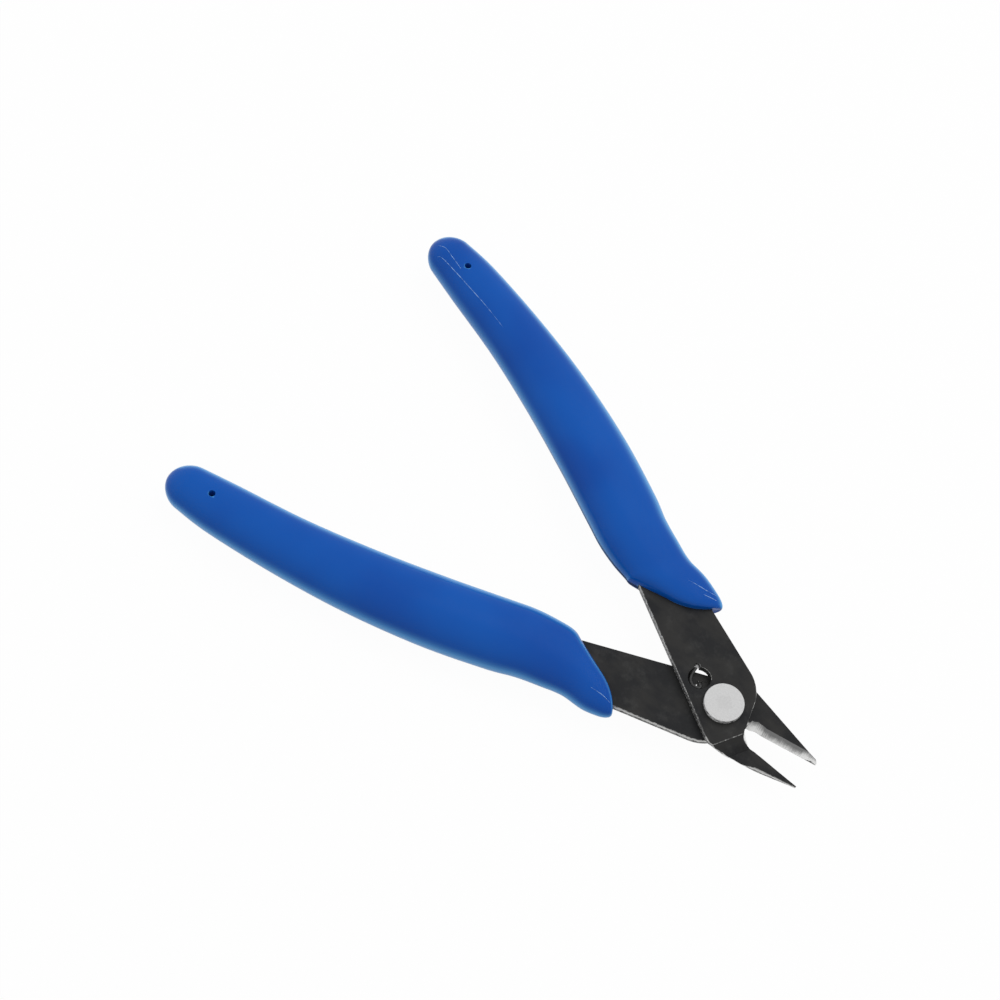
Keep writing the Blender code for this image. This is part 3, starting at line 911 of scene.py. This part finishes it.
@dataclass
class Grip:
    """A moulded grip: a bent, flattened tube with a flared guard and a round tail."""

    node: str
    body: str
    half: Half
    sheet_low: float
    guard_spread: float
    start: tuple = (-34.28, -15.2)
    heading: float = 26.2
    bend_radius: float = 227.0
    length: float = 68.75
    sections: tuple = (
        (0.0, 6.8, 4.5),
        (0.08, 7.0, 4.75),
        (0.26, 7.0, 4.85),
        (0.47, 6.6, 4.6),
        (0.68, 5.95, 4.3),
        (0.89, 5.35, 3.85),
        (1.0, 4.6, 3.4),
    )
    guard: tuple = (
        (-17.18, -12.4, 5.5, 3.2, 58.5),
        (-22.5, -12.35, 7.0, 3.5, 44.0),
        (-26.0, -12.6, 6.4, 3.7, 32.0),
        (-30.0, -13.7, 6.6, 4.1, 27.0),
    )
    plate: float = 1.5
    power: float = 2.2
    front_half_height: float = 1.5
    spread_forward: float = 0.65
    tip_round: tuple = (1.7, 1.7)
    inner_round: tuple = (1.8, 3.2)
    shoulder: float = 0.0
    tail_taper: float = 0.1
    bow: float = 0.6
    bow_reach: float = 4.5
    near_flank: tuple = (0.6, 0.5)
    far_flank: tuple = (0.9, 0.2)
    shadow_reach: float = 0.0
    shadow_start: tuple = (-0.05, 0.1)
    shadow_width: float = 0.36
    shadow_blur: float = 0.06
    side_blend: float = 1.5
    under_reach: float = 0.5
    flank_power: float = 1.5
    front_fade: tuple = (0.85, 0.25)
    mould_lines: tuple = ()
    line_radius: float = 0.06
    line_points: int = 60
    line_around: int = 8
    line_thin: float = 0.02
    around: int = 120
    body_steps: int = 200
    end_steps: int = 22
    fit: float = 0.12
    outer_edge: tuple = (19.8, -7.85)
    inner_edge: tuple = (27.3, 5.47)
    shank_end: float = -28.0
    tang_widths: tuple = (4.2, 2.7)
    tang_share: float = 0.96
    tang_steps: int = 24
    locator_share: float = 0.925
    locator_radius: float = 0.65
    locator_around: int = 48
    locator_reach: float = 6.0
    pocket_front: float = -4.0
    skin_sharp: float = 60.0
    cut_sharp: float = 40.0

    def centre_line(self, share: np.ndarray) -> tuple[np.ndarray, np.ndarray]:
        """Points and headings of the grip's centre line.

        The line is an arc of radius R. Its centre lies at `start` plus R to the left of the
        heading there, and after an arc of length s the heading has turned by s / R.

        Args:
            share: shares of the grip's length.

        Returns:
            The points, and the headings in degrees.
        """
        heading = self.heading - np.degrees(self.length * share / self.bend_radius)
        hub = np.array(self.start) + way(self.heading + 90) * self.bend_radius
        return hub - way(heading + 90) * self.bend_radius, heading

    def stations(self) -> np.ndarray:
        """The table of sections from guard to tail: x, y, half width, half height, lean."""
        guard = np.array(self.guard)
        guard[0, :2] += way(guard[0, 4]) * self.guard_spread * self.spread_forward
        guard[0, 2] += self.guard_spread
        guard[1, :2] -= way(guard[1, 4] + 90) * self.shoulder / 2
        guard[1, 2] -= self.shoulder / 2
        share, wide, high = np.array(self.sections).T
        centre, heading = self.centre_line(share)
        return np.concatenate([guard, np.column_stack([centre, wide, high, heading])])

    def round_end(self, rows: np.ndarray, first: np.ndarray, side: int, size: tuple) -> np.ndarray:
        """Draws in one end of the front rows, so that the guard is round there.

        Args:
            rows: the front rows, which are changed.
            first: the front row of the table.
            side: 1 for the rows' outer end, -1 for their inner end.
            size: half axes (a across, b along) of the ellipse that rounds the end.

        Returns:
            The rows. One that lies s behind the first gives up
            a - a * sqrt(1 - (1 - s / b)^2) of that end, where s is less than b.
        """
        across, along = size
        behind = (first[:2] - rows[:, :2]) @ way(first[4])
        lack = np.clip(1 - behind / along, 0, 1)
        trim = across * (1 - np.sqrt(1 - lack**2))
        rows[:, :2] += way(rows[:, 4] + 90) * trim[:, None] * side / 2
        rows[:, 2] -= trim / 2
        return rows

    def rows(self) -> np.ndarray:
        """Stations along the whole grip.

        The guard's first stretch rises from the lip as a quarter ellipse, and the tail
        closes as one: with a the angle from 0 to 90, its sections shrink by
        cos a * (1 - taper * sin a) while their centres move back by sin a times the last
        half width.
        """
        table = self.stations()
        turn = way(np.linspace(0, 90, self.end_steps, endpoint=False))
        front = smooth(table, 1 - turn[:, 0])
        lip = self.front_half_height
        front[:, 3] = lip + (front[:, 3] - lip) * turn[:, 1]
        front = self.round_end(front, table[0], 1, self.tip_round)
        front = self.round_end(front, table[0], -1, self.inner_round)
        body = smooth(table, np.linspace(1, len(table) - 1, self.body_steps, endpoint=False))
        turn = way(np.linspace(0, 89, self.end_steps))
        tail = np.repeat(table[-1:], self.end_steps, axis=0)
        tail[:, :2] -= way(table[-1, 4]) * (turn[:, 1:] * table[-1, 2])
        tail[:, 2:4] *= turn[:, :1] * (1 - self.tail_taper * turn[:, 1:])
        return np.concatenate([front, body, tail])

    def surface(self, rows: np.ndarray, across: np.ndarray, up: np.ndarray) -> np.ndarray:
        """Points of the skin, at shares of the half width and half height of their rows.

        Near the front the skin is bowed forward by bow * (1 - across^2), fading over
        `bow_reach`.

        Args:
            rows: stations of the grip, as `rows` gives them.
            across: shares of the half width, one row per station.
            up: shares of the half height, one row per station.

        Returns:
            The points in the tool's frame.
        """
        first = self.rows()[0]
        behind = (first[:2] - rows[:, :2]) @ way(first[4])
        near = np.clip(1 - behind / self.bow_reach, 0, 1)[:, None] ** 2
        side = rows[:, 2:3] * across
        grid = np.empty((*side.shape, 3))
        grid[..., :2] = rows[:, None, :2] + way(rows[:, 4] + 90)[:, None] * side[..., None]
        grid[..., :2] += (near * self.bow * (1 - across**2))[..., None] * way(first[4])
        grid[..., 1] *= int(self.half)
        grid[..., 2] = self.sheet_low + self.plate / 2 + rows[:, 3:4] * up
        return grid

    def skin(self) -> np.ndarray:
        """The grip's surface as rings of points.

        A ring is a superellipse of power p: with spoke (c, s), a point lies at
        half width * c^(2/p) across and half height * s^(2/p) up.
        """
        spoke = way(np.arange(self.around) * 360 / self.around)[None]
        bent = np.sign(spoke) * np.abs(spoke) ** (2 / self.power)
        return self.surface(self.rows(), bent[..., 0], bent[..., 1])

    def mould_line(self, name: str, points: tuple) -> bpy.types.Object:
        """A fine raised line on the top of the skin.

        Args:
            name: name of the new object.
            points: distances from the front and shares of the half width, in turn.

        Returns:
            The object, a half-sunk round bead that thins toward both its ends.
        """
        rows = self.rows()
        steps = np.linalg.norm(np.diff(rows[:, :2], axis=0), axis=1)
        along = np.concatenate([[0], np.cumsum(steps)])
        share = np.linspace(0, 1, self.line_points)
        distance, across = smooth(np.array(points), share * (len(points) - 1)).T
        picked = np.stack([np.interp(distance, along, column) for column in rows.T], 1)
        up = (1 - np.abs(across) ** self.power) ** (1 / self.power)
        path = self.surface(picked, across[:, None], up[:, None])[:, 0]
        taper = np.sin(np.pi * np.clip(share, self.line_thin, 1 - self.line_thin))
        return tube(name, path, self.line_radius * np.sqrt(taper), self.line_around)

    def paint_flanks(self, mesh: bpy.types.Mesh) -> None:
        """Stores at each point a painted reflection, by how far the skin has turned to the side and to the
        underside.

        The skin's shadow line lies just under the widest place of its -Y side, and fades
        over `shadow_reach` behind the front.

        Args:
            mesh: the grip's mesh, which is changed.
        """
        normals = np.array([normal.vector for normal in mesh.vertex_normals])
        up = normals[:, 2]
        x = (np.array([vert.co.x for vert in mesh.vertices]) - RIVET_PLACE[0]) / MM
        level = np.hypot(normals[:, 0], normals[:, 1]) + TINY
        far = np.clip(0.5 + self.side_blend * normals[:, 1:2] / level[:, None], 0, 1)
        start, reach = (far * self.far_flank + (1 - far) * np.array(self.near_flank)).T
        turned = np.minimum((start - up) / reach, (1 + up) / self.under_reach)
        # painted reflection: grows as the skin turns to the side, fades again toward the underside
        flank_reflection = np.clip(turned, 0, 1) ** self.flank_power
        ahead = normals[:, :2] @ (way(self.guard[0][4]) * (1, int(self.half)))
        flank_reflection *= np.clip((self.front_fade[0] - ahead) / self.front_fade[1], 0, 1)
        near = np.clip(1 - (self.guard[0][0] - x) / max(self.shadow_reach, 0.1), 0, 1)
        below = np.interp(near, (0, 1), self.shadow_start) - up
        line = np.clip(below / self.shadow_blur, 0, 1)
        line *= np.clip((self.shadow_width - below) / self.shadow_blur, 0, 1)
        line *= near * (normals[:, 1] < 0) * (x < self.guard[1][0])
        for name, values in (("flank_reflection", flank_reflection), ("shadow_line", line)):
            mesh.attributes.new(name, "FLOAT", "POINT").data.foreach_set("value", values)

    def edge_points(self, edge: tuple, grow: float) -> np.ndarray:
        """Two points of a straight edge of the shank, at the pocket's front and at its end.

        Args:
            edge: angle of the edge and its distance from the rivet's axis.
            grow: how far the edge is moved outwards.

        Returns:
            The two points.
        """
        angle, offset = edge
        along = way(angle)
        base = np.array([-along[1], along[0]]) * (offset + math.copysign(grow, offset))
        at = np.array([self.pocket_front, self.shank_end])
        return base + along * ((at - base[0]) / along[0])[:, None]

    def pocket(self) -> np.ndarray:
        """The tang's outline, grown by the fit: the shank's edges, then the tapering tang."""
        share = np.linspace(0, 1, self.tang_steps)
        centre, heading = self.centre_line(self.tang_share * share)
        front, end = self.tang_widths
        half = (front + (end - front) * share + self.fit)[:, None]
        square = way(heading + 90)
        outer = np.concatenate([self.edge_points(self.outer_edge, self.fit), centre - square * half])
        inner = np.concatenate([self.edge_points(self.inner_edge, self.fit), centre + square * half])
        outline = np.concatenate([outer[::-1], inner])
        outline[:, 1] *= int(self.half)
        return outline

    def prism(self, name: str, outline: np.ndarray, low: float, high: float) -> bpy.types.Object:
        """A closed prism over an outline, between two levels."""
        levels = [np.column_stack([outline, np.full(len(outline), level)]) for level in (low, high)]
        return grid_piece(name, placed(np.stack(levels)))

    def build(self) -> bpy.types.Object:
        """Makes the skin, opens its pocket and locator hole, dresses it and lets it ride."""
        piece = grid_piece(self.node + "_vinyl", placed(self.skin()), self.skin_sharp, strips=True)
        top = self.sheet_low + self.plate
        hole, _ = self.centre_line(np.array([self.locator_share]))
        turns = np.arange(self.locator_around) * 360 / self.locator_around
        ring = hole + way(turns) * self.locator_radius
        ring[:, 1] *= int(self.half)
        cutters = [
            self.prism(f"{self.node}_{name}", outline, self.sheet_low - reach, top + reach)
            for name, outline, reach in (
                ("pocket", self.pocket(), self.fit),
                ("locator", ring, self.locator_reach),
            )
        ]
        carve(piece, cutters, self.cut_sharp)
        self.paint_flanks(piece.data)
        piece.data.materials.clear()
        piece.data.materials.append(bpy.data.materials.get(Vinyl.name) or Vinyl().material())
        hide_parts(self.node)
        lines = [
            self.mould_line(f"{self.node}_mould_line_{index}", points)
            for index, points in enumerate(self.mould_lines, 1)
        ]
        for line in lines:
            # painted highlight on the mould lines
            line_highlight = bpy.data.materials.get(MouldLineHighlight.name) or MouldLineHighlight().material()
            line.data.materials.append(line_highlight)
        for part in (piece, *lines):
            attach(part, self.body)
        return piece


# --- Studio -------------------------------------------------------------------------------


@dataclass
class Studio:
    """Pale floor, soft lamps, white surroundings and the camera."""

    floor_size_m: float = 6.0
    floor_white: float = 0.97
    floor_grey: float = 0.8
    world_strength: float = 0.5
    camera_place: tuple = (41.894, -166.199, 365.532)
    azimuth: float = -59.75
    elevation: float = 61.81
    roll: float = 13.11
    lens: float = 79.63
    lamps: tuple = field(
        default_factory=lambda: (
            ("key_softbox", (0.05, 0.55, 0.87), 0.7, 5.4),
            ("fill_softbox", (-0.75, -0.35, 0.6), 0.8, 1.5),
        )
    )

    def glow(self, tree: bpy.types.NodeTree) -> Any:
        """Works out how far the floor glows white instead of being lit.

        It glows to the eye, where it keeps a trace of the shadow, in gloss and through glass.

        Args:
            tree: the floor's node tree.

        Returns:
            The share, from 0 for the lit floor to 1 for the glow.
        """
        path = tree.nodes.new("ShaderNodeLightPath")
        seen = tree.nodes.new("ShaderNodeMath")
        seen.operation = "MULTIPLY"
        seen.inputs[1].default_value = self.floor_white
        tree.links.new(path.outputs["Is Camera Ray"], seen.inputs[0])
        share = seen.outputs[0]
        for name in ("Is Glossy Ray", "Is Transmission Ray"):
            most = tree.nodes.new("ShaderNodeMath")
            most.operation = "MAXIMUM"
            tree.links.new(share, most.inputs[0])
            tree.links.new(path.outputs[name], most.inputs[1])
            share = most.outputs[0]
        return share

    def floor(self) -> bpy.types.Object:
        """A plain floor: white to the eye, with a trace of the object's shadow."""
        half = self.floor_size_m / 2
        mesh = bpy.data.meshes.new("floor")
        corners = [(-half, -half, 0), (half, -half, 0), (half, half, 0), (-half, half, 0)]
        mesh.from_pydata(corners, [], [(0, 1, 2, 3)])
        piece = bpy.data.objects.new("floor", mesh)
        bpy.context.scene.collection.objects.link(piece)
        made = bpy.data.materials.new("floor_white")
        made.use_nodes = True
        tree = made.node_tree
        tree.nodes.clear()
        diffuse = tree.nodes.new("ShaderNodeBsdfDiffuse")
        diffuse.inputs["Color"].default_value = (*[self.floor_grey] * 3, 1)
        glow = tree.nodes.new("ShaderNodeEmission")
        mixed = tree.nodes.new("ShaderNodeMixShader")
        out = tree.nodes.new("ShaderNodeOutputMaterial")
        tree.links.new(self.glow(tree), mixed.inputs[0])
        tree.links.new(diffuse.outputs[0], mixed.inputs[1])
        tree.links.new(glow.outputs[0], mixed.inputs[2])
        tree.links.new(mixed.outputs[0], out.inputs["Surface"])
        mesh.materials.append(made)
        return piece

    def surroundings(self) -> None:
        """A white world to the eye, in gloss and through glass, and a soft light elsewhere."""
        world = bpy.data.worlds.new("studio")
        bpy.context.scene.world = world
        world.use_nodes = True
        tree = world.node_tree
        background = tree.nodes["Background"]
        background.inputs["Color"].default_value = (1, 1, 1, 1)
        path = tree.nodes.new("ShaderNodeLightPath")
        level: Any = self.world_strength
        for name in ("Is Glossy Ray", "Is Transmission Ray", "Is Camera Ray"):
            chosen = tree.nodes.new("ShaderNodeMix")
            tree.links.new(path.outputs[name], chosen.inputs["Factor"])
            if isinstance(level, float):
                chosen.inputs["A"].default_value = level
            else:
                tree.links.new(level, chosen.inputs["A"])
            chosen.inputs["B"].default_value = 1.0
            level = chosen.outputs["Result"]
        tree.links.new(level, background.inputs["Strength"])

    def lamp(self, name: str, place: tuple, size: float, power: float) -> None:
        """A square soft lamp that faces the object.

        Args:
            name: name of the lamp.
            place: its place in metres.
            size: its side in metres.
            power: its power in watts.
        """
        light = bpy.data.lights.new(name, "AREA")
        light.size = size
        light.energy = power
        made = bpy.data.objects.new(name, light)
        made.visible_glossy = False
        made.location = place
        made.rotation_euler = (-Vector(place)).to_track_quat("-Z", "Y").to_euler()
        bpy.context.scene.collection.objects.link(made)

    def camera(self) -> None:
        """The camera, whose axes are built from its azimuth, elevation and roll."""
        az, el, roll = (math.radians(angle) for angle in (self.azimuth, self.elevation, self.roll))
        back = Vector((math.cos(el) * math.cos(az), math.cos(el) * math.sin(az), math.sin(el)))
        level = Vector((-math.sin(az), math.cos(az), 0))
        upward = back.cross(level)
        right = level * math.cos(roll) + upward * math.sin(roll)
        top = upward * math.cos(roll) - level * math.sin(roll)
        data = bpy.data.cameras.new("camera")
        data.lens = self.lens
        made = bpy.data.objects.new("camera", data)
        turn = Matrix((right, top, back)).transposed().to_4x4()
        made.matrix_world = Matrix.Translation(placed(np.array(self.camera_place))) @ turn
        bpy.context.scene.collection.objects.link(made)
        bpy.context.scene.camera = made

    def build(self) -> None:
        """Sets up the whole studio."""
        self.floor()
        self.surroundings()
        for lamp in self.lamps:
            self.lamp(*lamp)
        self.camera()
        bpy.context.scene.view_settings.view_transform = "Standard"


def main() -> None:
    """Builds the studio and each piece in turn."""
    logging.basicConfig(level=logging.INFO, format="%(message)s")
    Studio().build()
    pieces = [
        Blade("lower_blade", "lower_half", ground_turn=13.0),
        Blade(
            "upper_blade",
            "upper_half",
            ground_turn=0.0,
            top_level=1.6,
            joggle_drop=3.2,
            burnish=(0.2, 0.55),
            slope_normal=(0.738, -0.344, 0.579),
            throat=(5.5, 9.2),
        ),
        Rivet(),
        ReturnSpring(),
        Grip(
            "lower_grip",
            "lower_half",
            Half.LOWER,
            sheet_low=-1.5,
            guard_spread=0.0,
            shoulder=0.9,
            mould_lines=(((4.4, -0.46), (2.1, -0.49), (0.7, -0.64)),),
        ),
        Grip(
            "upper_grip",
            "upper_half",
            Half.UPPER,
            sheet_low=0.1,
            guard_spread=1.15,
            inner_round=(0.9, 2.0),
            shoulder=-0.4,
            bow=1.2,
            shadow_reach=60.0,
            mould_lines=(
                ((87.0, 0.7), (86.0, 0.58), (82.0, 0.53), (77.3, 0.49), (72.2, 0.45), (66.0, 0.44)),
                ((89.0, 0.37), (87.4, 0.19), (84.8, 0.24), (81.5, 0.3)),
                ((4.6, -0.3), (2.9, -0.62), (2.1, -0.88)),
                ((2.0, -0.48), (1.2, -0.8)),
            ),
        ),
    ]
    for maker in pieces:
        piece = maker.build()
        LOG.info("%s: %d faces", piece.name, len(piece.data.polygons))


if __name__ == "__main__":
    main()
